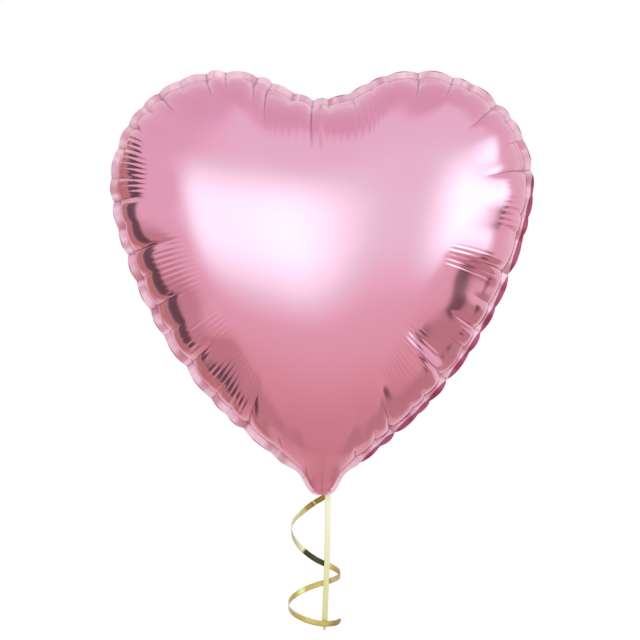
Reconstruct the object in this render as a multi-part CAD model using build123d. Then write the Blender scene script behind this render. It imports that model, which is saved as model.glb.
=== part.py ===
from build123d import *
from math import cos, radians, sin, sqrt
import os

# Heart-shaped foil balloon on a curled ribbon, in millimetres.
# +Z is up, the front faces -Y, and the seam lies in the plane y = 0.
# The origin is in the seam plane, level with the lowest point of the folded neck.

# The inflated heart, measured over its seam margin
overall_width = 382.0
overall_height = 382.5
overall_depth = 178.0
lobe_radius = 103.5
cleft_depth = 25.0  # the saddle between the lobes, below their tops
side_radius = 361.0  # the sides bow gently from lobe to tip
tip_radius = 35.0
tip_height = 14.0  # bottom of the heart's own tip, above the folded neck
centre_height = 232.0  # where the panels bulge furthest
bulge_power = 2.8  # how flat a sealed film bulges: 2 is an ellipse
bulge_steps = 8
bulge_top_angle = 86.0

# The film and its seam
film = 0.6
margin = 6.5

# The neck, from the heart's tip down to its fold
neck_top = 36.0
neck_top_half_width = 15.0
neck_top_half_depth = 13.0
neck_end_half_width = 7.5
neck_end_half_depth = 2.4
neck_margin = 3.5
neck_corner = 3.0

# The tail, gathered and folded up behind the neck
fold_radius = 3.8  # at the middle of the tail's thickness
tail_thickness = 1.6
tail_width = 20.0
gather_width = 15.0
gather_height = 6.5
tab_width = 25.0
tab_length = 38.0
tab_thickness = 1.2
tab_corner = 4.0
tab_tilt = 66.0  # from upright, leaning back under the balloon's rear panel

# The self-sealing valve, two films inside the neck
valve_width = 11.0
valve_length = 82.0
valve_film = 0.4
valve_gap = 0.3
valve_start = 1.0  # above the neck's end

# The ribbon
ribbon_width = 5.0
ribbon_thickness = 0.4
loop_height = 5.0
knot_radius = 3.2
knot_side = 5.0  # the knot sits a little to the right of the middle
knot_height = 3.0
line_drop = 122.4  # lowest point of the straight end, below the origin
line_lean = 2.8  # how far the straight end leans back towards the middle
curl_radius = 24.0
curl_side = -6.0
curl_wall = 0.5
curl_top = -9.0
curl_split = -66.0
curl_bottom = -117.0

# Clearances
running_gap = 0.3
wrap_gap = 0.1

# Everything below follows from the sizes above
lobe_x = overall_width / 2 - lobe_radius
lobe_z = overall_height - lobe_radius
cleft_z = overall_height - cleft_depth
tip_z = tip_height + tip_radius
half_depth = overall_depth / 2
neck_end = fold_radius + tail_thickness / 2
strip_y = 2 * fold_radius
gather_top = neck_end + gather_height
tail_back = strip_y + tail_thickness / 2
tab_start = tail_thickness / 2 + 2 * running_gap  # from the crease that the tab bends on
loop_back = tail_back + wrap_gap + ribbon_thickness
knot = Vector(knot_side, loop_back + running_gap + knot_radius, knot_height)
curl_y = knot.Y + ribbon_thickness / 2 + running_gap + curl_radius


def meeting_point(a, reach_a, b, reach_b):
    """The point reach_a from a and reach_b from b, to the right of the way from a to b."""
    way = b - a
    along = (reach_a**2 - reach_b**2 + way.length**2) / (2 * way.length)
    across = sqrt(reach_a**2 - along**2)
    unit = way.normalized()
    return a + unit * along + Vector(unit.Y, -unit.X) * across


def heart_arcs(inset):
    """The heart's right half, from cleft to tip, as arcs of three points in (x, z)."""
    lobe = Vector(lobe_x, lobe_z)
    tip = Vector(0, tip_z)
    rise = cleft_z - lobe_z
    cleft_radius = (lobe_radius**2 - rise**2 - lobe_x**2) / (2 * (rise - lobe_radius))
    cleft = Vector(0, cleft_z + cleft_radius)
    side = meeting_point(lobe, side_radius - lobe_radius, tip, side_radius - tip_radius)

    def on(centre, radius, towards):
        return centre + towards.normalized() * radius

    r_lobe = lobe_radius - inset
    r_tip = tip_radius - inset
    r_side = side_radius - inset
    r_cleft = cleft_radius + inset
    shoulder = on(lobe, r_lobe, cleft - lobe)
    hip = on(lobe, r_lobe, lobe - side)
    ankle = on(tip, r_tip, tip - side)
    foot = Vector(0, tip_z - r_tip)
    dip = Vector(0, cleft.Y - r_cleft)
    return [
        (dip, on(cleft, r_cleft, (dip + shoulder) / 2 - cleft), shoulder),
        (shoulder, on(lobe, r_lobe, Vector(1, 1)), hip),
        (hip, on(side, r_side, (hip + ankle) / 2 - side), ankle),
        (ankle, on(tip, r_tip, (ankle + foot) / 2 - tip), foot),
    ]


def heart_wire(inset, share=1.0, y=0.0):
    """The whole outline, drawn in by inset, then shrunk to a share about the centre."""

    def place(p, mirror):
        z = centre_height + (p.Y - centre_height) * share
        return Vector(mirror * p.X * share, y, z)

    right = heart_arcs(inset)
    edges = [ThreePointArc(*(place(p, 1) for p in arc)) for arc in right]
    edges += [ThreePointArc(*(place(p, -1) for p in reversed(arc))) for arc in reversed(right)]
    return Wire(edges)


def heart_bulge(inset, depth):
    """One inflated half: outlines that shrink as they rise from the seam towards -Y."""
    wires = []
    for step in range(bulge_steps):
        angle = radians(bulge_top_angle * step / (bulge_steps - 1))
        share = cos(angle) ** (2 / bulge_power)
        lift = depth * sin(angle) / sin(radians(bulge_top_angle))
        wires.append(heart_wire(inset, share, -lift))
    return Solid.make_loft(wires)


def neck_tube(inset, end):
    """The neck: ellipses that flatten from the heart's tip down to the fold."""
    levels = [(neck_top, 0.0), ((neck_top + neck_end) / 2, 0.55), (end, 1.0)]
    wires = []
    for z, t in levels:
        half_width = neck_top_half_width + (neck_end_half_width - neck_top_half_width) * t
        half_deep = neck_top_half_depth + (neck_end_half_depth - neck_top_half_depth) * t
        section = Plane.XY.offset(z) * Ellipse(half_width - inset, half_deep - inset)
        wires.append(section.wire())
    front_side = (Align.CENTER, Align.MAX, Align.CENTER)
    return Solid.make_loft(wires) & Box(overall_width, overall_depth, overall_height, align=front_side)


def seam_plate():
    """The flat margin of one panel, heart and neck, before its middle is taken out."""
    heart = Face(heart_wire(0))
    end_half = neck_end_half_width + neck_margin
    top_half = neck_top_half_width + neck_margin
    corners = [
        (-end_half, neck_end),
        (end_half, neck_end),
        (top_half, neck_top),
        (-top_half, neck_top),
    ]
    neck = Plane.XZ * make_face(Polyline(*corners, close=True))
    return extrude(heart + neck, amount=film, dir=(0, -1, 0))


def make_panel():
    """The front panel: seam margin, inflated half and half of the neck, as one film."""
    outer = seam_plate() + heart_bulge(margin, half_depth) + neck_tube(0, neck_end)
    inner = heart_bulge(margin + film, half_depth - film) + neck_tube(film, neck_end)
    return outer - inner


def make_tail_fold():
    """The gathered tail, down from the neck and up behind it."""
    turn = CenterArc((fold_radius, neck_end), fold_radius, 180, 180)
    rise = Line(turn @ 1, (strip_y, gather_top))
    centre_line = Plane.YZ * Wire([turn, rise])
    start = Plane(origin=(0, 0, neck_end), x_dir=(1, 0, 0), z_dir=(0, 0, -1))
    strip = sweep(start * Rectangle(tail_width, tail_thickness), path=centre_line)
    waist = (tail_width - gather_width) / 2
    cut = Box(waist, 2 * tail_thickness, gather_height, align=(Align.CENTER, Align.CENTER, Align.MIN))
    for side in (-1, 1):
        strip -= Pos(side * (gather_width + waist) / 2, strip_y, neck_end) * cut
    return strip


def make_fill_tab():
    """The flat free end of the tail, with the mouth that the balloon is filled at."""
    outline = RectangleRounded(tab_width, tab_length, tab_corner)
    blade = extrude(outline, amount=tab_thickness / 2, both=True)
    across = (0, -cos(radians(tab_tilt)), sin(radians(tab_tilt)))
    crease = Plane(origin=(0, strip_y, gather_top), x_dir=(1, 0, 0), z_dir=across)
    return crease * Pos(0, tab_start + tab_length / 2, 0) * blade


def make_valve_film(side):
    """One of the two thin films whose flat channel closes under the balloon's pressure."""
    upwards = (Align.CENTER, Align.CENTER, Align.MIN)
    blade = Box(valve_width, valve_film, valve_length, align=upwards)
    offset = (valve_gap + valve_film) / 2
    return Pos(0, side * offset, neck_end + valve_start) * blade


def make_loop():
    """The ribbon's turn round the gathered tail."""
    inside = (gather_width + 2 * wrap_gap, tail_thickness + 2 * wrap_gap)
    outside = (inside[0] + 2 * ribbon_thickness, inside[1] + 2 * ribbon_thickness)
    ring = Rectangle(*outside) - Rectangle(*inside)
    return Pos(0, strip_y, neck_end + wrap_gap) * extrude(ring, amount=loop_height)


def make_knot():
    """The ribbon's knot, a small ball that both ends hang from."""
    return Pos(*knot) * Sphere(knot_radius)


def make_line():
    """The straight end of the ribbon, a flat strip."""
    top = knot.Z - knot_radius - running_gap
    path = Line((knot.X, knot.Y, top), (knot.X - line_lean, knot.Y, -line_drop))
    start = Plane(origin=path @ 0, x_dir=(1, 0, 0), z_dir=path % 0)
    return sweep(start * Rectangle(ribbon_width, ribbon_thickness), path=path)


def curl_tube(low, high):
    """A stretch of the thin round tube that the curled end winds on."""
    ring = Circle(curl_radius) - Circle(curl_radius - curl_wall)
    return Pos(curl_side, curl_y, low) * extrude(ring, amount=high - low)


def make_curl():
    """The upper half of the curl, with the short lead that comes down from the knot."""
    wall_y = curl_y - sqrt((curl_radius - curl_wall / 2) ** 2 - (knot.X - curl_side) ** 2)
    below = sqrt((knot_radius + running_gap) ** 2 - (wall_y - curl_wall / 2 - knot.Y) ** 2)
    lead_top = knot.Z - below
    downwards = (Align.CENTER, Align.CENTER, Align.MAX)
    lead = Box(ribbon_width, curl_wall, lead_top - curl_top + ribbon_width, align=downwards)
    return curl_tube(curl_split + running_gap, curl_top) + Pos(knot.X, wall_y, lead_top) * lead


front = make_panel()
nodes = {
    "front_panel": front,
    "back_panel": mirror(front, about=Plane.XZ),
    "valve_front_film": make_valve_film(-1),
    "valve_back_film": make_valve_film(1),
    "tail_fold": make_tail_fold(),
    "fill_tab": make_fill_tab(),
    "ribbon_loop": make_loop(),
    "ribbon_knot": make_knot(),
    "ribbon_line": make_line(),
    "ribbon_curl": make_curl(),
    "ribbon_curl_end": curl_tube(curl_bottom, curl_split),
}

os.makedirs("parts", exist_ok=True)
for name, shape in nodes.items():
    export_step(shape, f"parts/{name}.step")
print("knot centre", knot, "curl axis at", curl_side, curl_y)
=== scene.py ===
import bpy
import numpy as np
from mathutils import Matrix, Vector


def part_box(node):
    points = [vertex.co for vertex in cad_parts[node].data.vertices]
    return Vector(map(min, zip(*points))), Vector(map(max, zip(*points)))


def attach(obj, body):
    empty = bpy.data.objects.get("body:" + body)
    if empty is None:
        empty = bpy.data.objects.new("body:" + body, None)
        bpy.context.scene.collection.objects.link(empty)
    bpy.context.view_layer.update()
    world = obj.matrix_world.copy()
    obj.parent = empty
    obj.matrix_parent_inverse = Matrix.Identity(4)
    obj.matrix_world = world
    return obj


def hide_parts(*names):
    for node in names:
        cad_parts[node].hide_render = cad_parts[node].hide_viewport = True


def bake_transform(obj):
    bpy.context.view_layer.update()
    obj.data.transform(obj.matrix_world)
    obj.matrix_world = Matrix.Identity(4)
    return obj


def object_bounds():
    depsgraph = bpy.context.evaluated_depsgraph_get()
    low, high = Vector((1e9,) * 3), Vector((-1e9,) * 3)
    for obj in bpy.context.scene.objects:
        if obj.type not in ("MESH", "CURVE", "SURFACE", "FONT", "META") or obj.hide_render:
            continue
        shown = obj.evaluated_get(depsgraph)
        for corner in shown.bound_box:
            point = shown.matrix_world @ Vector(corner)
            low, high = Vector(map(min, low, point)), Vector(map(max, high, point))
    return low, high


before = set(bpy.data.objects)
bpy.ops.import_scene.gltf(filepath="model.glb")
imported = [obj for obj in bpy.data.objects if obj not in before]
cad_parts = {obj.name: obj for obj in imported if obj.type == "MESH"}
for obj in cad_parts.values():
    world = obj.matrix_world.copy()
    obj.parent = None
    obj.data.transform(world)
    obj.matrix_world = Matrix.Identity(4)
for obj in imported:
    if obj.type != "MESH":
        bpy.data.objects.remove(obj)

# Heart-shaped foil balloon on a curled ribbon, in metres. The front faces -Y.
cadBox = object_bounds()
panelLow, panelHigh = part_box("front_panel")
knotLow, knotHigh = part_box("ribbon_knot")
knotCentre = np.array((knotLow + knotHigh) / 2)


def smooth(low, high, x):
    # 0 below low, 1 above high, and an even S between them
    t = np.clip((x - low) / (high - low), 0, 1)
    return t * t * (3 - 2 * t)


def unit(v):
    # each vector over its own length
    return v / np.maximum(np.linalg.norm(v, axis=-1, keepdims=True), 1e-12)


def lengthsAlong(points):
    # distance walked at each point of a line
    steps = np.linalg.norm(np.diff(points, axis=0), axis=1)
    return np.concatenate([[0], np.cumsum(steps)])


def evenly(points, count):
    # the same line with its points spaced evenly
    walked = lengthsAlong(points)
    at = np.linspace(0, walked[-1], count)
    return np.stack([np.interp(at, walked, points[:, k]) for k in range(3)], axis=1)


def gridFaces(rows, columns, closed=False):
    # quads of a grid of points, row by row; closed joins the last column to the first
    last = columns if closed else columns - 1
    i, j = np.meshgrid(np.arange(rows - 1), np.arange(last), indexing="ij")
    k = (j + 1) % columns
    quads = [i * columns + j, i * columns + k, (i + 1) * columns + k, (i + 1) * columns + j]
    return np.stack(quads, axis=-1).reshape(-1, 4)


def tubeFaces(rows, columns, flipped=False):
    # the quads of a closed tube, row by row, and a cap at each end; flipped turns every face over
    caps = [list(range(columns))[::-1], [(rows - 1) * columns + k for k in range(columns)]]
    faces = gridFaces(rows, columns, closed=True).tolist() + caps
    return [face[::-1] for face in faces] if flipped else faces


def fuller(wave, power):
    # a sine or cosine with fuller shoulders: its size to that power, its sign kept
    return np.sign(wave) * np.abs(wave) ** power


def newPiece(name, points, faces, materials, body=None):
    # a smooth mesh object with its materials and the body it rides on
    mesh = bpy.data.meshes.new(name)
    mesh.from_pydata(points.reshape(-1, 3).tolist(), [], faces)
    mesh.update()
    mesh.shade_smooth()
    for material in materials:
        mesh.materials.append(material)
    piece = bpy.data.objects.new(name, mesh)
    bpy.context.collection.objects.link(piece)
    if body:
        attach(piece, body)
    return piece


def setValues(piece, label, values):
    # one number at each vertex, for the piece's material to read
    made = piece.data.attributes.new(label, "FLOAT", "POINT")
    made.data.foreach_set("value", values.astype(np.float32))


# materials: foil, sealed margin, ribbon and valve film
class Number:
    # a number inside a material, so that sums are written as sums
    def __init__(self, net, socket):
        self.net, self.socket = net, socket

    def __add__(self, other):
        return self.net.maths("ADD", self, other)

    def __radd__(self, other):
        return self.net.maths("ADD", other, self)

    def __sub__(self, other):
        return self.net.maths("SUBTRACT", self, other)

    def __rsub__(self, other):
        return self.net.maths("SUBTRACT", other, self)

    def __mul__(self, other):
        return self.net.maths("MULTIPLY", self, other)

    def __rmul__(self, other):
        return self.net.maths("MULTIPLY", other, self)

    def __truediv__(self, other):
        return self.net.maths("DIVIDE", self, other)


class Net:
    # the nodes of one material or world
    def __init__(self, owner):
        owner.use_nodes = True
        self.tree = owner.node_tree
        self.tree.nodes.clear()

    def node(self, kind, settings=None, inputs=None):
        made = self.tree.nodes.new("ShaderNode" + kind)
        for name, value in (settings or {}).items():
            if name == "stops":
                ramp = made.color_ramp.elements
                ramp.remove(ramp[1])
                ramp[0].position, ramp[0].color = value[0][0], (*value[0][1], 1)
                for at, shade in value[1:]:
                    ramp.new(at).color = (*shade, 1)
            else:
                setattr(made, name, value)
        for name, value in (inputs or {}).items():
            self.feed(made.inputs[name], value)
        return made

    def feed(self, socket, value):
        if isinstance(value, Number):
            value = value.socket
        if isinstance(value, bpy.types.NodeSocket):
            self.tree.links.new(value, socket)
        else:
            socket.default_value = value

    def maths(self, operation, *values):
        inputs = dict(enumerate(values))
        return Number(self, self.node("Math", {"operation": operation}, inputs).outputs[0])

    def attribute(self, name):
        return Number(self, self.node("Attribute", {"attribute_name": name}).outputs["Fac"])

    def noise(self, place, scale, detail=2.0):
        made = self.node("TexNoise", None, {"Vector": place, "Scale": scale, "Detail": detail})
        return Number(self, made.outputs["Fac"])

    def between(self, value, low, high):
        # 0 below low, 1 above high, smooth between
        settings = {"interpolation_type": "SMOOTHSTEP"}
        inputs = {"Value": value, "From Min": low, "From Max": high}
        return Number(self, self.node("MapRange", settings, inputs).outputs["Result"])

    def mixed(self, share, one, other):
        made = self.node("Mix", {"data_type": "RGBA"}, {"Factor": share})
        self.feed(made.inputs[6], one)
        self.feed(made.inputs[7], other)
        return made.outputs[2]


def newMaterial(name):
    material = bpy.data.materials.new(name)
    net = Net(material)
    net.place = net.node("TexCoord").outputs["Object"]
    net.shader = net.node("BsdfPrincipled")
    net.node("OutputMaterial", None, {"Surface": net.shader.outputs["BSDF"]})
    return material, net


foilLook = {
    "pink": (0.80, 0.35, 0.50, 1),
    "deepPink": (0.77, 0.31, 0.46, 1),
    # painted shade at the bottom of the creases
    "creaseShadePink": (0.26, 0.06, 0.12, 1),
    "roughness": 0.13,
    "crimpSpacing": 0.0056,
    "crimpHeight": 0.0006,
}


def makeFoil():
    # mirror-like film, with fine crimps that run in from the seam: a sine wave of the way round the seam,
    # drifting a little, as strong as the crimped patches are
    material, net = newMaterial("pinkFoil")
    drift = net.noise(net.place, 9.0)
    turns = net.attribute("seamAlong") * (2 * np.pi / foilLook["crimpSpacing"])
    height = net.maths("SINE", turns + drift * 5) * net.attribute("crimp")
    bump = net.node("Bump", None, {"Strength": 0.35, "Distance": foilLook["crimpHeight"], "Height": height})
    colour = net.mixed(drift, foilLook["deepPink"], foilLook["pink"])
    # painted shade: the crease lines darken the foil's colour where its creases fall into shade
    colour = net.mixed(net.attribute("foldLine") * 0.9, colour, foilLook["creaseShadePink"])
    net.feed(net.shader.inputs["Base Color"], colour)
    net.feed(net.shader.inputs["Metallic"], 1.0)
    net.feed(net.shader.inputs["Roughness"], foilLook["roughness"] + drift * 0.05)
    net.feed(net.shader.inputs["Normal"], bump.outputs["Normal"])
    return material


marginLook = {
    "pale": ((0.70, 0.32, 0.44, 1), (0.77, 0.38, 0.50, 1)),
    # painted shade on the flange's outer edge, past the print
    "edge": (0.36, 0.05, 0.13, 1),
    # painted shade in the margin's creases
    "fold": (0.14, 0.04, 0.07, 1),
    "metallic": 0.75,
    "roughness": 0.42,
}


def makeMargin():
    # the heat-sealed edge: paler and duller, with a fine pressed grain, and past its pale print a deep pink,
    # darkened to paint the shade on the flange's outer edge
    material, net = newMaterial("sealedMargin")
    grain = net.noise(net.place, 900.0, 3.0)
    bump = net.node("Bump", None, {"Strength": 0.2, "Distance": 0.0004, "Height": grain})
    shadedPastPrint = net.between(net.attribute("outside"), -0.15, 0.15)
    edgeShaded = net.mixed(shadedPastPrint, net.mixed(grain, *marginLook["pale"]), marginLook["edge"])
    # painted shade: the margin darkens along the crease lines too
    creaseShaded = net.mixed(net.attribute("foldLine") * 0.6, edgeShaded, marginLook["fold"])
    net.feed(net.shader.inputs["Base Color"], creaseShaded)
    net.feed(net.shader.inputs["Metallic"], marginLook["metallic"])
    net.feed(net.shader.inputs["Roughness"], marginLook["roughness"])
    net.feed(net.shader.inputs["Normal"], bump.outputs["Normal"])
    return material


ribbonLook = {
    # painted shade to painted highlight: from turned away from the light to facing it
    "goldShadeToHighlight": [
        (0.0, (0.038, 0.021, 0.008)), (0.2, (0.17, 0.10, 0.03)), (0.45, (0.46, 0.26, 0.06)),
        (0.7, (0.68, 0.46, 0.15)), (1.0, (0.88, 0.74, 0.52)),
    ],
    # the straight end, at its tip and at the knot, where the window's reflection is painted in as cream, and
    # the heights between which it changes
    "tipGold": (0.66, 0.47, 0.24, 1),
    "windowReflectionCream": (0.83, 0.64, 0.50, 1),
    "reflectionFrom": (-0.115, -0.005),
    "lines": 90.0,
}


def ribbonBump(net):
    # faint lines along the ribbon: a sine wave across its width
    lines = net.maths("SINE", net.attribute("ribbonAcross") * ribbonLook["lines"])
    return net.node("Bump", None, {"Strength": 0.2, "Distance": 0.0001, "Height": lines}).outputs["Normal"]


def makeRibbonGold():
    # metallised ribbon, with painted shade where it has turned from the light and painted highlights where it
    # faces it
    material, net = newMaterial("ribbonGold")
    shade = net.attribute("ribbonShade") + net.noise(net.place, 300.0) * 0.12 - 0.06
    tone = net.node("ValToRGB", {"stops": ribbonLook["goldShadeToHighlight"]}, {"Fac": shade})
    net.feed(net.shader.inputs["Base Color"], tone.outputs["Color"])
    net.feed(net.shader.inputs["Metallic"], 0.6)
    net.feed(net.shader.inputs["Roughness"], 0.34)
    net.feed(net.shader.inputs["Normal"], ribbonBump(net))
    return material


def makeRibbonPaintedReflection():
    # the straight end: the same ribbon seen flat on, with the window's reflection painted in as cream above,
    # and deeper gold towards its tip
    material, net = newMaterial("ribbonPaintedReflection")
    height = Number(net, net.node("SeparateXYZ", None, {"Vector": net.place}).outputs["Z"])
    share = net.between(height, *ribbonLook["reflectionFrom"])
    net.feed(net.shader.inputs["Base Color"], net.mixed(share, ribbonLook["tipGold"], ribbonLook["windowReflectionCream"]))
    net.feed(net.shader.inputs["Metallic"], 0.25)
    net.feed(net.shader.inputs["Roughness"], 0.45)
    net.feed(net.shader.inputs["Normal"], ribbonBump(net))
    return material


clearLook = {
    "tints": ((0.85, 0.85, 0.87, 1), (0.95, 0.95, 0.96, 1)),
    "roughness": 0.25,
    "alpha": 0.35,
}


def makeClearFilm():
    # soft clear film of the valve
    material, net = newMaterial("clearFilm")
    haze = net.noise(net.place, 200.0)
    net.feed(net.shader.inputs["Base Color"], net.mixed(haze, *clearLook["tints"]))
    net.feed(net.shader.inputs["Roughness"], clearLook["roughness"])
    net.feed(net.shader.inputs["Alpha"], clearLook["alpha"] + haze * 0.2)
    return material


foil, margin, clearFilm = makeFoil(), makeMargin(), makeClearFilm()
gold, paintedReflectionGold = makeRibbonGold(), makeRibbonPaintedReflection()
print("materials made")

# camera, light and floor
# what the camera looks at in x and z, how far off it stands, and how much it sees across
view = {"centre": (-0.0018, 0.1575), "away": 1.7, "spread": 0.576}


def makeCamera():
    data = bpy.data.cameras.new("camera")
    camera = bpy.data.objects.new("camera", data)
    bpy.context.collection.objects.link(camera)
    x, z = view["centre"]
    camera.location = (x, -view["away"], z)
    camera.rotation_euler = (np.pi / 2, 0, 0)
    data.lens = data.sensor_width * view["away"] / view["spread"]
    bpy.context.scene.camera = camera


studio = {
    # the room's colour, from straight below to straight above
    "room": [
        (0.0, (0.72, 0.54, 0.47)), (0.17, (0.77, 0.61, 0.53)), (0.28, (0.86, 0.74, 0.65)),
        (0.36, (0.92, 0.88, 0.82)), (0.5, (0.95, 0.98, 0.95)), (0.72, (0.92, 0.96, 0.95)),
        (0.83, (0.88, 0.88, 0.9)), (1.0, (0.84, 0.8, 0.82)),
    ],
    # patches of the room: where each fades in and out by turn, then by rise, in degrees, and its strength;
    # turn is 0 behind the viewer and + to the right
    "window": ((-50, -33), (-8, 14), (-20, 3), (10, 36), 1.6),
    "rightWindow": ((22, 44), (80, 98), (-16, 0), (12, 38), 2.0),
    "join": ((-20, 0), (24, 40), (-16, 4), (10, 42), 0.42),
    "upper": ((-45, -8), (64, 90), (18, 36), (60, 80), 0.3),
    "leftFlag": ((-125, -119), (-100, -94), (-52, -36), (16, 22), 0.82),
    "rightFlag": ((79, 84), (95, 100), (-38, -31), (-15, -10), 0.7),
    "brown": ((-160, -138), (-128, -120), (-52, -36), (12, 28), 1.0),
    "rose": ((78, 94), (138, 152), (-75, -55), (-24, -14), 0.9),
    "dusk": ((-114, -94), (-72, -50), (-80, -60), (-16, -6), 0.75),
    "windowTint": (0.65, 1.0, 0.87, 1),
    "roseTint": (0.60, 0.46, 0.41, 1),
    "brownTint": (0.60, 0.38, 0.30, 1),
}


def makeStudioLight():
    # a pale room with two soft windows behind the viewer, warmer below, and dark flags at the sides
    world = bpy.data.worlds.new("studio")
    bpy.context.scene.world = world
    net = Net(world)
    way = net.node("SeparateXYZ", None, {"Vector": net.node("TexCoord").outputs["Generated"]})
    x, y, z = (Number(net, way.outputs[k]) for k in "XYZ")
    turn = net.maths("ARCTAN2", x, 0 - y) * (180 / np.pi)
    rise = net.maths("ARCSINE", z) * (180 / np.pi)

    def patch(name):
        # its strength inside the patch, 0 outside it
        left, right, low, high, strength = studio[name]
        across = net.between(turn, *left) * (1 - net.between(turn, *right))
        return across * net.between(rise, *low) * (1 - net.between(rise, *high)) * strength

    room = net.node("ValToRGB", {"stops": studio["room"]}, {"Fac": rise / 180 + 0.5})
    added = patch("window") + patch("rightWindow") + patch("join") + patch("upper")
    kept = (1 - patch("leftFlag")) * (1 - patch("rightFlag"))
    lit = net.mixed(net.between(added, 0, 0.6), room.outputs["Color"], studio["windowTint"])
    rosy = net.maths("MAXIMUM", patch("rose"), patch("dusk"))
    warm = net.mixed(rosy, lit, studio["roseTint"])
    warm = net.mixed(patch("brown"), warm, studio["brownTint"])
    # the camera itself sees plain white behind the balloon
    seen = Number(net, net.node("LightPath").outputs["Is Camera Ray"])
    strength = (1 + added) * kept * (1 - seen) + seen
    back = net.node("Background", None, {"Color": net.mixed(seen, warm, (1, 1, 1, 1)), "Strength": strength})
    net.node("OutputWorld", None, {"Surface": back.outputs["Background"]})
    bpy.context.scene.view_settings.view_transform = "Standard"


floorLook = {"radius": 1.5, "below": 0.38, "sides": 64, "colour": (0.93, 0.87, 0.90, 1)}


def makeFloor():
    # a pale round floor, well below the balloon, that fades out at its edge
    radius, sides = floorLook["radius"], floorLook["sides"]
    level = cadBox[0][2] - floorLook["below"]
    turn = np.linspace(0, 2 * np.pi, sides + 1)[:-1]
    points = np.stack([radius * np.cos(turn), radius * np.sin(turn), np.full(sides, level)], axis=1)
    mesh = bpy.data.meshes.new("floor")
    mesh.from_pydata(points.tolist(), [], [list(range(sides))])
    floor = bpy.data.objects.new("floor", mesh)
    bpy.context.collection.objects.link(floor)
    material, net = newMaterial("paleFloor")
    flat = net.node("VectorMath", {"operation": "MULTIPLY"}, {0: net.place, 1: (1, 1, 0)})
    out = net.node("VectorMath", {"operation": "LENGTH"}, {0: flat.outputs[0]}).outputs["Value"]
    net.feed(net.shader.inputs["Base Color"], floorLook["colour"])
    net.feed(net.shader.inputs["Roughness"], 0.9)
    net.feed(net.shader.inputs["Alpha"], 1 - net.between(out, radius * 0.45, radius * 0.95))
    mesh.materials.append(material)
    floor.visible_glossy = False  # so that the foil mirrors the room, not the floor


makeCamera()
makeStudioLight()
makeFloor()
print("camera, light and floor made")

# ribbons
ribbon = {"width": 0.005, "thick": 0.00016, "dish": 0.0007}
# the straight end: from the knot to its tip
lineRoute = [
    (0.0052, 0.0124, -0.0005), (0.0050, 0.0124, -0.0450),
    (0.0040, 0.0124, -0.0800), (0.0021, 0.0124, -0.1236),
]
# the curled end leaves the knot backwards, then winds down in a loop
curlLead = [
    (0.0050, 0.0150, -0.0010), (0.0005, 0.0240, -0.0050),
    (-0.0080, 0.0370, -0.0110), (-0.0180, 0.0480, -0.0200),
]
curl = {
    "centre": (-0.0063, 0.0369),
    "radius": 0.0234,
    "turns": (165.0, 717.0),
    "turnStep": 27.6,
    "forward": 0.0050,  # how far its lowest loop hangs forwards
    "leadFacing": (0.62, 0.74, 0.51),
    # how high it is, by how far round it has wound
    "levels": (
        (165, -0.0290), (180, -0.0345), (270, -0.0600), (300, -0.0650), (360, -0.0765), (420, -0.0860),
        (450, -0.0895), (540, -0.1045), (630, -0.1165), (680, -0.1185), (717, -0.1172),
    ),
    # how bright its painted shade and highlights are: on the lead by how far along it is, then by how far
    # round it has wound
    "leadShades": (
        (0, 0.5), (0.020, 0.42), (0.0235, 0.4), (0.0245, 0.95), (0.026, 0.9), (0.0275, 0.3), (0.031, 0.5),
        (0.038, 0.55), (0.042, 0.95),
    ),
    "shades": (
        (130, 0.6), (134, 0.85), (200, 0.95), (240, 1.0), (246, 0.0), (292, 0.08), (300, 0.9), (304, 0.6),
        (350, 0.35), (362, 0.95), (405, 0.95), (412, 0.6), (470, 0.6), (480, 0.85), (498, 0.5), (530, 0.6),
        (545, 1.0), (575, 0.9), (600, 0.65), (650, 0.5), (665, 0.35), (700, 0.3), (723, 0.1),
    ),
}


def splineThrough(name, route):
    # the smooth line of a NURBS curve with the route as its control points
    data = bpy.data.curves.new(name, "CURVE")
    data.dimensions = "3D"
    data.resolution_u = 24
    spline = data.splines.new("NURBS")
    spline.points.add(len(route) - 1)
    for point, place in zip(spline.points, route):
        point.co = (*place, 1)
    spline.order_u = 3
    spline.use_endpoint_u = True
    carrier = bpy.data.objects.new(name, data)
    mesh = bpy.data.meshes.new_from_object(carrier)
    points = np.array([v.co for v in mesh.vertices])
    bpy.data.objects.remove(carrier)
    bpy.data.meshes.remove(mesh)
    return points


def ribbonStrip(name, line, facing, tip, body, narrow=1.0, shade=0.7, material=None):
    # a flat strip: at each point of the line, across it by a share of its width and out by its thickness,
    # slightly dished; tip is how far the cut end slants
    ahead = unit(np.gradient(line, axis=0))
    across = unit(np.cross(ahead, facing))
    out = unit(np.cross(across, ahead))
    walked = lengthsAlong(line)
    left = walked[-1] - walked
    shares = np.linspace(-0.5, 0.5, 7)
    sides = np.concatenate([shares, shares[::-1]])
    faceOut = np.concatenate([np.full(7, 0.5), np.full(7, -0.5)])
    cut = np.clip((left[:, None] - tip * (0.5 + sides[None])) / 0.0015, 0, 1)
    keep = np.where(left[:, None] < tip * 1.6, cut, 1.0)
    width = sides[None] * ribbon["width"] * narrow * (0.35 + 0.65 * keep.mean(axis=1, keepdims=True))
    bow = (0.25 - sides**2) * ribbon["dish"]
    points = line[:, None] + across[:, None] * width[..., None]
    points = points + out[:, None] * (faceOut[None] * ribbon["thick"] + bow[None])[..., None]
    rows, columns = points.shape[:2]
    piece = newPiece(name, points, tubeFaces(rows, columns), [material or gold], body)
    setValues(piece, "ribbonAcross", np.tile(sides, rows))
    # ribbonShade carries the painted shade and highlights along the strip
    setValues(piece, "ribbonShade", np.repeat(np.broadcast_to(shade, rows), columns))
    return piece


trefoil = {"size": 0.00085, "depth": 0.00104, "narrow": 0.55}


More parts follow.
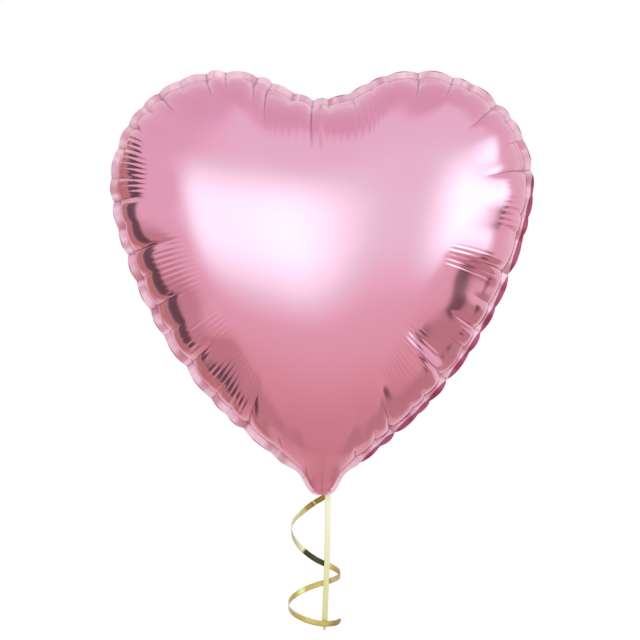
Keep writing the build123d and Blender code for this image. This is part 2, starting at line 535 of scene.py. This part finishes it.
def makeKnot():
    # a trefoil, pulled into a small lump: x is sin a + 2 sin 2a, z is cos a - 2 cos 2a, y is -sin 3a
    a = np.linspace(0, 2 * np.pi, 160)
    x = trefoil["size"] * (np.sin(a) + 2 * np.sin(2 * a))
    y = -trefoil["depth"] * np.sin(3 * a)
    z = trefoil["size"] * (np.cos(a) - 2 * np.cos(2 * a))
    line = np.stack([x, y, z], axis=1)
    facing = unit(line + 1e-6)
    piece = ribbonStrip("knot", line + knotCentre, facing, 0.0, "knot", trefoil["narrow"])
    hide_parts("ribbon_knot")
    return piece


def makeLine(knot):
    # a flat strip along the spline of its route, facing forwards
    line = evenly(splineThrough("lineRoute", lineRoute), 120)
    facing = np.tile([0.12, -1.0, 0.0], (len(line), 1))
    piece = ribbonStrip("straightRibbon", line, facing, 0.006, "line", material=paintedReflectionGold)
    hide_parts("ribbon_line")


def makeCurl():
    # a helix: its radius round the centre by the turn, its height from the levels, a little wider half way
    # down and drawn in again at its end
    angles = np.arange(curl["turns"][0], curl["turns"][1] + 1, curl["turnStep"])
    at, level = np.array(curl["levels"]).T
    height = np.interp(angles, at, level)
    cx, cy = curl["centre"]
    forward = curl["forward"] * smooth(500, 630, angles)
    radius = curl["radius"] * (0.96 + 0.12 * smooth(200, 540, angles) - 0.07 * smooth(620, 717, angles))
    x = cx + radius * np.cos(np.radians(angles))
    y = cy + radius * np.sin(np.radians(angles)) - forward
    route = curlLead + [tuple(p) for p in np.stack([x, y, height], axis=1)]
    line = evenly(splineThrough("curlRoute", route), 330)
    walked = lengthsAlong(line)
    # it faces away from the helix's centre, and its own way on the lead
    facing = line - np.array([cx, cy, 0])
    facing[:, 2] = 0
    past = smooth(0.02, 0.06, walked)[:, None]
    facing = unit(unit(facing) * past + np.array(curl["leadFacing"]) * (1 - past))
    wound = np.degrees(np.unwrap(np.arctan2(line[:, 1] - cy, line[:, 0] - cx)))
    wound += 360 * round((curl["turns"][1] - wound[-1]) / 360)
    at, bright = np.array(curl["shades"]).T
    shade = np.interp(wound, at, bright)
    at, bright = np.array(curl["leadShades"]).T
    shade = np.where(walked < at[-1], np.interp(walked, at, bright), shade)
    piece = ribbonStrip("curledRibbon", line, facing, 0.004, None, shade=shade)
    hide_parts("ribbon_curl", "ribbon_curl_end")
    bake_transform(piece)


makeLine(makeKnot())
makeCurl()
print("ribbons made")

# the foil envelope
heart = {
    "margin": 0.0065,
    "lobeRadius": 0.1035,
    "cleftDepth": 0.025,
    "sideRadius": 0.361,
    "tipRadius": 0.035,
    "tipHeight": 0.014,
    "centre": 0.232,
    # the seam on the right side of the neck, going down
    "neck": (
        (0.0400, 0.0398), (0.0300, 0.0318), (0.0208, 0.0245), (0.0155, 0.0182), (0.0124, 0.0125),
        (0.0101, 0.0080), (0.0080, 0.0048), (0.0052, 0.0030), (0.0, 0.0024),
    ),
    "columnStep": 0.0017,
    "rows": 104,
    "neckMargin": 0.0038,
    "marginRows": (1.0, 0.9, 0.75, 0.5, 0.25),
    "fullness": 0.18,
    "neckFlat": (0.5, 0.74),  # how much flatter the neck is, in front and behind, where the tail folds up
    "wavesFrom": (5, 12),  # degrees either side of the neck, where the waves along the seam come in
}
# waves along the seam: how high, how many radians in a metre, where they start
seamWaves = {
    "frontLobes": ((0.0012, 61, 1.3), (0.0012, 97, -1)),
    "backLobes": ((0.0012, 61, 1.3), (0.0012, 97, 1)),
    "sway": ((0.0012, 150, 1), (0.0009, 231, 2.1), (0.0006, 390, 0)),
    "tilt": ((0.10, 150, 1.9), (0.06, 231, 0.3)),
}
# puckers in the seam: direction from the centre in degrees, how deep it cuts in, how far it runs in
puckers = (
    (78, 3.0, 20), (72, 2.0, 14), (67, 2.5, 16), (59, 5.0, 30), (50, 4.5, 26), (45, 2.0, 14),
    (37, 5.0, 44), (32, 2.5, 16), (26, 3.0, 20), (18, 5.5, 46), (12, 2.0, 14), (6, 2.5, 16),
    (1, 2.5, 16), (-11, 6.0, 50), (-22, 3.0, 20), (-31, 4.5, 34), (-38, 3.0, 18), (-49, 6.0, 54),
    (-57, 3.0, 20), (-62, 2.5, 16), (-70, 5.5, 40), (-75, 3.0, 22), (-81, 2.5, 18), (-86, 2.5, 20),
    (-90, 3.0, 24), (-94, 2.5, 20), (-102, 2.5, 20), (-112, 5.0, 40), (-118, 2.5, 18),
    (-124, 3.0, 20), (-136, 5.5, 42), (-148, 3.0, 22), (-157, 5.0, 36), (-167, 3.0, 18),
    (-175, 6.0, 52), (-183, 2.5, 16), (-190, 5.0, 34), (-196, 3.0, 18), (-204, 4.0, 26),
    (-210, 3.5, 20), (-216, 2.0, 14), (-221, 4.5, 30), (-227, 2.5, 14), (-234, 5.0, 28),
    (-239, 4.0, 22), (-247, 5.0, 30), (-251, 5.0, 46), (-258, 2.5, 14), (-266, 5.5, 54),
    (-273, 2.5, 16),
)
# crimped patches: direction, half width in degrees, depth from and to, how strong
crimps = (
    (161, 11, 0.004, 0.036, 1.9), (-166, 13, 0.022, 0.056, 0.7), (-140, 7, 0.015, 0.055, 0.8),
    (-122, 10, 0.010, 0.050, 1.0), (90, 24, 0.004, 0.050, 0.6), (10, 11, 0.002, 0.026, 0.55),
    (52, 12, 0.002, 0.018, 0.6), (128, 14, 0.002, 0.022, 0.55), (-12, 5, 0.012, 0.060, 0.9),
    (-33, 4, 0.006, 0.020, 0.7), (-47, 5, 0.018, 0.058, 0.9), (-60, 8, 0.020, 0.060, 0.25),
)
# flatter facets between deep puckers on the front: from and to direction, depth of the middle, run, how much
facets = (
    (-48.5, -11, 0.018, 0.046, 0.0058), (-69, -49.5, 0.026, 0.030, 0.0022),
    (-136, -112, 0.026, 0.030, 0.0020),
)
# the crease at a pucker: half its width and how much more for each mm of cut, how sharp, its depth for each
# mm of cut, what is left of it at the neck, half the width of the line of painted shade in it
crease = {"half": 0.0032, "wider": 0.0009, "sharp": 1.8, "deep": 0.00055, "atNeck": 0.45, "line": 0.0008}


def arcPoints(centre, radius, start, end, count):
    # points round a circle between two directions
    a = np.linspace(np.arctan2(start[1], start[0]), np.arctan2(end[1], end[0]), count)
    return centre + radius * np.stack([np.cos(a), np.sin(a)], axis=1)


def heartOutline():
    # the seam line in (x, z): cleft, lobe, side and tip as tangent arcs, then the neck, softened
    inset = heart["margin"]
    lobeR, sideR, tipR = heart["lobeRadius"], heart["sideRadius"], heart["tipRadius"]
    lobe = np.array([panelHigh.x - lobeR, panelHigh.z - lobeR])
    tip = np.array([0, heart["tipHeight"] + tipR])
    cleftZ = panelHigh.z - heart["cleftDepth"]
    rise = cleftZ - lobe[1]
    cleftR = (lobeR**2 - rise**2 - lobe[0] ** 2) / (2 * (rise - lobeR))
    cleft = np.array([0, cleftZ + cleftR])
    way = tip - lobe
    gap = np.hypot(*way)
    reach, tipReach = sideR - lobeR, sideR - tipR
    along = (reach**2 - tipReach**2 + gap**2) / (2 * gap)
    off = np.sqrt(reach**2 - along**2)
    side = lobe + way / gap * along + np.array([way[1], -way[0]]) / gap * off
    parts = [
        arcPoints(cleft, cleftR + inset, (0, -1), lobe - cleft, 40),
        arcPoints(lobe, lobeR - inset, cleft - lobe, lobe - side, 200),
        arcPoints(side, sideR - inset, lobe - side, tip - side, 200),
    ]
    right = np.concatenate(parts)
    right = right[(right[:, 0] > heart["neck"][0][0] + 0.003) | (right[:, 1] > 0.2)]
    right = np.concatenate([right, heart["neck"]])
    line = np.concatenate([right, right[-2::-1] * (-1, 1)])
    line = evenly(np.column_stack([line, line[:, 0] * 0]), 1800)[:-1, :2]
    spread = np.exp(-0.5 * (np.arange(-9, 10) / 3.0) ** 2)
    spread /= spread.sum()
    padded = np.concatenate([line[-9:], line, line[:9]])
    return np.stack([np.convolve(padded[:, k], spread, "valid") for k in (0, 1)], axis=1)


outline = heartOutline() - (0, heart["centre"])
outlineWalk = lengthsAlong(np.concatenate([outline, outline[:1]]))
seamLength = outlineWalk[-1]
outlineTurn = np.degrees(np.unwrap(np.arctan2(outline[:, 1], outline[:, 0])))  # from 90 down to -270


def seamPoint(walk):
    # the place on the smooth seam line, that far round it from the cleft
    closed = np.concatenate([outline, outline[:1]])
    return np.stack([np.interp(walk, outlineWalk, closed[:, k]) for k in (0, 1)], axis=1)


def seamOutward(walk):
    # straight out of the seam line: the way it runs, between 2 mm back and 2 mm on, turned a quarter
    on, back = (seamPoint(np.mod(walk + step, seamLength)) for step in (0.002, -0.002))
    ahead = unit(on - back)
    return np.stack([-ahead[:, 1], ahead[:, 0]], axis=1)


def seamTurn(walk):
    # direction from the centre, from 90 down to -270 degrees
    place = seamPoint(walk)
    turn = np.degrees(np.arctan2(place[:, 1], place[:, 0]))
    return np.where(turn > 90, turn - 360, turn)


def puckerWalks():
    # how far round the seam each pucker is
    directions = np.array([p[0] for p in puckers], float)
    return np.interp(-directions % 360, -outlineTurn % 360, outlineWalk[:-1], period=360)


def waves(walk, table):
    # a sum of sine waves of the way round the seam
    return sum(high * np.sin(walk * fast + start) for high, fast, start in table)


def skinHeight(places):
    # a skin pressed up from below: minus a quarter of the squared distance, plus logs of the distances
    # to sources outside the outline, chosen so that it is nought along the outline
    rim = outline[::3]
    sources = (outline + 0.009 * seamOutward(outlineWalk[:-1]))[::7]
    gaps = np.linalg.norm(rim[:, None] - sources[None], axis=2)
    weights = np.linalg.lstsq(np.log(gaps), (rim**2).sum(axis=1) / 4, rcond=1e-9)[0]
    made = -(places**2).sum(axis=1) / 4
    for part in np.array_split(np.arange(len(sources)), 8):
        apart = places[:, None] - sources[None, part]
        made += 0.5 * np.log((apart**2).sum(axis=2)) @ weights[part]
    return np.clip(made, 0, None)


def columnWalks():
    # columns of points run round the seam, closer together at each pucker: between two puckers the share of
    # the way is u - 0.12 sin 2 pi u
    at = np.sort(puckerWalks())
    nexts = np.append(at[1:], at[0] + seamLength)
    counts = np.maximum(6, np.round((nexts - at) / heart["columnStep"])).astype(int)
    shares = [np.arange(n) / n for n in counts]
    pieces = [a + (b - a) * (u - 0.12 * np.sin(2 * np.pi * u)) for a, b, u in zip(at, nexts, shares)]
    return np.concatenate(pieces) % seamLength


def bulge(v):
    # the film's height where the skin has v of its greatest height: root v, times 1 plus a share of 1 - v
    return -panelLow.y * np.sqrt(v) * (1 + heart["fullness"] * (1 - v))


def makeDome(walk, fromNeck, side):
    # the film without its puckers: each column is a quadratic curve in the heart's plane from the seam to
    # the centre, raised by the bulge. Rows are closer at the seam: tau squared times 1 - tau / 4, over 3 / 4
    rim = seamPoint(walk)
    reach = np.linalg.norm(rim, axis=1)
    lean = 0.75 * smooth(18, 50, fromNeck)[:, None]
    inwards = unit(-seamOutward(walk) * lean - rim / reach[:, None] * (1 - lean))
    middle = rim + inwards * reach[:, None] * 0.5
    tau = np.linspace(0, 1, heart["rows"] + 1)[:-1]
    share = (tau**2 * (1 - 0.25 * tau) / 0.75)[:, None, None]
    flat = (1 - share) ** 2 * rim[None] + 2 * share * (1 - share) * middle[None]
    deep = share[..., 0] * reach[None]
    skin = skinHeight(flat.reshape(-1, 2))
    v = np.clip(skin / skin.max(), 0, 1).reshape(deep.shape)
    v[0] = 0
    neckFlat = heart["neckFlat"][0 if side < 0 else 1]
    low = 1 - neckFlat * smooth(0.045, 0.006, flat[..., 1] + heart["centre"])
    dome = np.stack([flat[..., 0], bulge(v) * low, flat[..., 1] + heart["centre"]], axis=-1)
    top = bulge(skinHeight(np.zeros((1, 2)))[0] / skin.max())
    return dome, np.array([[0, top, heart["centre"]]]), deep


def filmNormal(dome, outward):
    # straight out of the film, square to its rows and columns; at the seam it lies in the heart's plane
    down = np.gradient(dome, axis=0)
    wrapped = np.concatenate([dome[:, -2:], dome, dome[:, :2]], axis=1)
    normal = unit(np.cross(down, np.gradient(wrapped, axis=1)[:, 2:-2]))
    behind = np.array([0, -0.05, heart["centre"]])
    normal *= np.sign((normal * (dome - behind)).sum(axis=-1, keepdims=True))
    normal[0] = np.stack([outward[:, 0], 0 * outward[:, 0], outward[:, 1]], axis=-1)
    return normal


def scallopsAt(walk, fromNeck):
    # how far the seam is pulled in: 0.55 of the nearer pucker's cut, times the power 2.2 of |2u - 1|, where
    # u goes from 0 to 1 between two puckers
    places = puckerWalks()
    order = np.argsort(places)
    at, cuts = places[order], np.array([p[1] for p in puckers])[order] * 0.001
    at, cuts = np.append(at, at[0] + seamLength), np.append(cuts, cuts[0])
    along = np.where(walk < at[0], walk + seamLength, walk)
    index = np.clip(np.searchsorted(at, along, side="right") - 1, 0, len(at) - 2)
    u = (along - at[index]) / (at[index + 1] - at[index])
    nearer = np.where(u < 0.5, cuts[index], cuts[index + 1])
    return nearer * 0.55 * np.abs(2 * u - 1) ** 2.2 * smooth(3.6, 6.5, fromNeck)


def creasesAt(walk, deep, side, rng):
    # at each pucker a narrow crease: 1 less the distance over its half width, to its sharpness, fading as it
    # runs in, with a thin line of painted shade at its bottom. The folds run in differently on the back panel
    press, creaseShade = np.zeros(deep.shape), np.zeros(deep.shape)
    for place, (angle, cut, run) in zip(puckerWalks(), puckers):
        run = run * 0.001 * (1 if side < 0 else rng.uniform(0.7, 1.2))
        off = np.abs((walk - place + seamLength / 2) % seamLength - seamLength / 2)
        half = crease["half"] + crease["wider"] * cut
        across = np.clip(1 - off / half, 0, 1) ** crease["sharp"]
        fade = (1 - smooth(0.0, run, deep)) ** 0.8 * smooth(0, 0.010, deep)
        strong = crease["atNeck"] if abs(angle + 90) < 6 else 1
        press += cut * crease["deep"] * strong * across[None] * fade
        thin = np.clip(1 - off / crease["line"], 0, 1) * min(1, (cut - 1.6) / 2.5)
        creaseShade = np.maximum(creaseShade, thin[None] * (1 - smooth(0.25 * run, 0.95 * run, deep)))
    return press, creaseShade


def facetsAt(turn, deep):
    # how far in the facets are: smooth across their directions, and smooth over their run at their middle
    press = np.zeros(deep.shape)
    for first, last, middle, run, much in facets:
        inside = smooth(first - 1, first + 3, turn) * (1 - smooth(last - 3, last + 1, turn))
        over = smooth(0, 1, 1 - np.abs(deep - middle) / run) * smooth(0, 0.012, deep)
        press += much * inside[None] * over
    return press


def crimpsAt(turn, deep):
    # how strongly the film is crimped: each patch fades at its ends and edges
    strength = np.zeros(deep.shape)
    for middle, half, near, far, much in crimps:
        away = np.abs((turn - middle + 180) % 360 - 180)
        patch = (1 - smooth(0.6 * half, half, away))[None]
        strength += much * patch * smooth(near - 0.008, near, deep) * (1 - smooth(far - 0.012, far, deep))
    return strength


def makePanel(name, node, side, seed):
    # the dome less the scallops, creases, facets and slow lobes, with the sealed margin outside its seam.
    # side is -1 for the front and 1 for the back
    walk = columnWalks()
    outward, turn = seamOutward(walk), seamTurn(walk)
    fromNeck = np.abs(turn + 90)
    wavy = smooth(*heart["wavesFrom"], fromNeck)
    dome, top, deep = makeDome(walk, fromNeck, side)
    scallop = scallopsAt(walk, fromNeck)
    press, creaseShade = creasesAt(walk, deep, side, np.random.default_rng(seed))
    press += scallop[None] * (1 - smooth(0, 0.012, deep))
    if side < 0:
        press += facetsAt(turn, deep)
    lobes = waves(walk, seamWaves["frontLobes" if side < 0 else "backLobes"]) * wavy
    press += lobes[None] * (1 - smooth(0.01, 0.06, deep)) * smooth(0, 0.006, deep)
    points = dome - filmNormal(dome, outward) * press[..., None]
    # the seam sways out of its plane, the same way on both panels
    sway = waves(walk, seamWaves["sway"]) * wavy
    points[..., 1] += sway[None] * side * np.exp(-deep / 0.01)
    # the sealed margin goes straight out of the seam, tilting a little, and is narrow at the neck
    wide = heart["neckMargin"] + (heart["margin"] - heart["neckMargin"]) * smooth(5, 10, fromNeck)
    wide = wide * (0.05 + 0.95 * smooth(0.4, 1.6, fromNeck))
    out = np.array(heart["marginRows"])[:, None] * wide[None]
    tilt = waves(walk, seamWaves["tilt"]) + 0.3 * smooth(-75, -20, turn) * (1 - smooth(0, 20, turn))
    way = np.stack([outward[:, 0], tilt * side * wavy, outward[:, 1]], axis=-1)
    band = points[:1] + out[..., None] * way[None]
    band[..., 1] += 0.00012
    grid = np.concatenate([band, points])
    total, columns = grid.shape[:2]
    quads = gridFaces(total, columns, closed=True)
    last = (total - 1) * columns + np.arange(columns)
    fan = np.stack([last, np.roll(last, -1), np.full(columns, total * columns)], axis=1)
    faces = [face[::side] for face in quads.tolist() + fan.tolist()]
    places = np.concatenate([grid.reshape(-1, 3), top]) * (1, side, 1)
    piece = newPiece(name, places, faces, [foil, margin], "balloon")
    mesh = piece.data
    # the margin's faces take the margin's material, and the seam is a sharp edge between it and the film
    slots = np.zeros(len(faces), np.int32)
    slots[: len(band) * columns] = 1
    mesh.polygons.foreach_set("material_index", slots)
    ends = np.zeros(len(mesh.edges) * 2, np.int32)
    mesh.edges.foreach_get("vertices", ends)
    onSeam = (ends.reshape(-1, 2) // columns == len(band)).all(axis=1)
    mesh.attributes.new("sharp_edge", "BOOLEAN", "EDGE").data.foreach_set("value", onSeam)

    def vertexValues(label, onBand, onFilm, atTop):
        setValues(piece, label, np.append(np.concatenate([onBand, onFilm]).ravel(), atTop))

    setValues(piece, "seamAlong", np.append(np.tile(walk, total), 0))
    vertexValues("crimp", np.zeros(out.shape), crimpsAt(turn, deep), 0)
    # the painted crease shade, which the margin takes from the seam's row
    vertexValues("foldLine", np.repeat(creaseShade[:1], len(band), axis=0), creaseShade, 0)
    # in mm, how far a point of the margin lies outside the line where its pale print ends
    printEnd = 0.0057 - 0.0040 * smooth(-88, -72, turn) * (1 - smooth(6, 22, turn))
    printEnd += 0.001 * smooth(-175, -215, turn)
    # past that line the margin takes the painted edge shade
    outside = out - 1.6 * scallop[None] - printEnd[None]
    vertexValues("outside", outside * 1000, np.full(deep.shape, -9.0), -9)
    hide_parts(node)


makePanel("frontPanel", "front_panel", -1, 5)
makePanel("backPanel", "back_panel", 1, 11)
print("panels made")

# the folded tail, its tie, the fill tab and the valve
tail = {
    "bendCentre": (0.0038, 0.0046),
    "bendRadius": 0.0038,
    "top": 0.0122,
    # along the fold from the front of the neck: share, half width, half thickness
    "widths": (
        (0, 0.0090, 0.0008), (0.2, 0.0092, 0.0012), (0.34, 0.0082, 0.0012), (0.48, 0.0062, 0.0011),
        (0.62, 0.0066, 0.0010), (0.72, 0.0072, 0.0009), (0.86, 0.0072, 0.0009), (1, 0.0082, 0.0010),
    ),
    "pleats": 0.32,
}


def makeTailFold():
    # the neck's film goes down, round a half circle and up behind: a flat tube round that path, with a ring
    # of a cosine to the power 0.85 by a sine, and pleats, a cosine of a cosine, that come in towards its tie
    cy, cz = tail["bendCentre"]
    front = np.array([[0, 0, z] for z in np.linspace(0.0105, cz, 12)])
    a = np.linspace(0, np.pi, 26)[1:-1]
    bend = np.stack([0 * a, cy - tail["bendRadius"] * np.cos(a), cz - tail["bendRadius"] * np.sin(a)], axis=1)
    behind = np.array([[0, 2 * cy, z] for z in np.linspace(cz, tail["top"], 16)])
    path = evenly(np.concatenate([front, bend, behind]), 60)
    share = np.linspace(0, 1, 60)
    table = np.array(tail["widths"])
    wide, thick = (np.interp(share, table[:, 0], table[:, k])[:, None] for k in (1, 2))
    ahead = unit(np.gradient(path, axis=0))
    out = np.cross(ahead, np.array([1.0, 0, 0]))
    a = np.linspace(0, 2 * np.pi, 97)[:-1][None]
    pleated = tail["pleats"] * smooth(0.42, 0.7, share)[:, None]
    x = wide * fuller(np.cos(a), 0.85)
    n = thick * np.sin(a) * (1 + pleated * np.cos(11 * np.cos(a) + 2 * np.sin(a) + 0.7))
    points = path[:, None] + x[..., None] * np.array([1.0, 0, 0]) + n[..., None] * out[:, None]
    piece = newPiece("tailFold", points, tubeFaces(*points.shape[:2]), [foil], "balloon")
    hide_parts("tail_fold")


tab = {
    "start": (0.0076, 0.0117),
    "lean": 66.0,
    "length": 0.0375,
    "width": 0.025,
    # half thickness at its edges, and what is added in its middle and at its open end
    "edge": 0.0002,
    "middle": 0.0005,
    "open": 0.0006,
    "waves": 0.0004,
}


def makeFillTab():
    # two layers of film sealed along their sides, gathered where they leave the tie and open at the end: a
    # flat tube with a nearly square ring, thickest in its middle, on slow sine waves and finer gathers
    lean = np.radians(tab["lean"])
    along = np.array([0, np.sin(lean), np.cos(lean)])
    out = np.array([0, -np.cos(lean), np.sin(lean)])
    t = np.linspace(0, 1, 70)[:, None]
    a = np.linspace(0, 2 * np.pi, 97)[:-1][None]
    wide = tab["width"] / 2 * (0.62 + 0.38 * smooth(0, 0.3, t))
    side = fuller(np.cos(a), 0.6)
    body = np.clip(1 - np.abs(side) ** 4, 0, 1) ** 0.7
    thick = tab["edge"] + tab["middle"] * body * (1 - 0.4 * smooth(0.1, 0.5, t)) * smooth(-0.05, 0.12, t)
    thick = thick + tab["open"] * body * smooth(0.8, 1, t)
    gathers = tab["waves"] * smooth(0, 0.1, t) * (1 - smooth(0, 0.35, t)) * np.cos(14 * side + 0.8)
    slow = tab["waves"] * np.sin(5 * side + 7 * t) * smooth(0.1, 0.5, t)
    n = thick * fuller(np.sin(a), 0.6) + slow + gathers
    start = np.array([0, *tab["start"]])
    points = start + (t * tab["length"])[..., None] * along + (wide * side)[..., None] * np.array([1.0, 0, 0])
    points = points + n[..., None] * out
    faces = tubeFaces(*points.shape[:2], flipped=True)
    piece = newPiece("fillTab", points, faces, [foil], "tab")
    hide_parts("fill_tab")


valve = {"thick": 0.0001, "bow": 0.00012, "wave": 0.00008}


def makeValveFilm(name, node, side):
    # one of the two clear films of the valve, which lie face to face in the neck: a flat tube that bows away
    # from the other by 1 - x squared, with a slow sine wave along it
    low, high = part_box(node)
    t = np.linspace(0, 1, 50)[:, None]
    a = np.linspace(0, 2 * np.pi, 49)[:-1][None]
    half = (high.x - low.x) / 2
    x = half * fuller(np.cos(a), 0.5) + 0 * t
    thick = valve["thick"] * np.sin(a) + valve["bow"] * side * (1 - (x / half) ** 2)
    y = (low.y + high.y) / 2 + thick + valve["wave"] * np.sin(9 * t + side)
    z = low.z + (high.z - low.z) * t + 0 * a
    points = np.stack([x, y, z], axis=-1)
    piece = newPiece(name, points, tubeFaces(*x.shape, flipped=True), [clearFilm], "balloon")
    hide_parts(node)


tie = {"half": 0.0080, "drawnIn": 0.0003, "depth": 0.00165, "height": 0.0072, "slope": 0.0004}


def makeTie():
    # the ribbon wound twice round the pleats: x and y are a cosine and a sine to the power 0.75, which makes
    # a long ring with round ends, and it slopes by a slow sine
    a = np.linspace(0, 4 * np.pi, 220)
    middle = tail["bendCentre"][0] * 2
    x = (tie["half"] - tie["drawnIn"] * a / (4 * np.pi)) * fuller(np.cos(a), 0.75)
    y = middle + tie["depth"] * fuller(np.sin(a), 0.75)
    line = np.stack([x, y, tie["height"] + tie["slope"] * np.sin(a / 2 + 0.5)], axis=1)
    line = evenly(line, 200)
    facing = line - np.array([0, middle, tie["height"]])
    facing[:, 2] = 0
    piece = ribbonStrip("tie", line, unit(facing), 0.0, "balloon")
    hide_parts("ribbon_loop")


makeTailFold()
makeFillTab()
makeTie()
makeValveFilm("valveFrontFilm", "valve_front_film", -1)
makeValveFilm("valveBackFilm", "valve_back_film", 1)
print("tail, tab, tie and valve made")
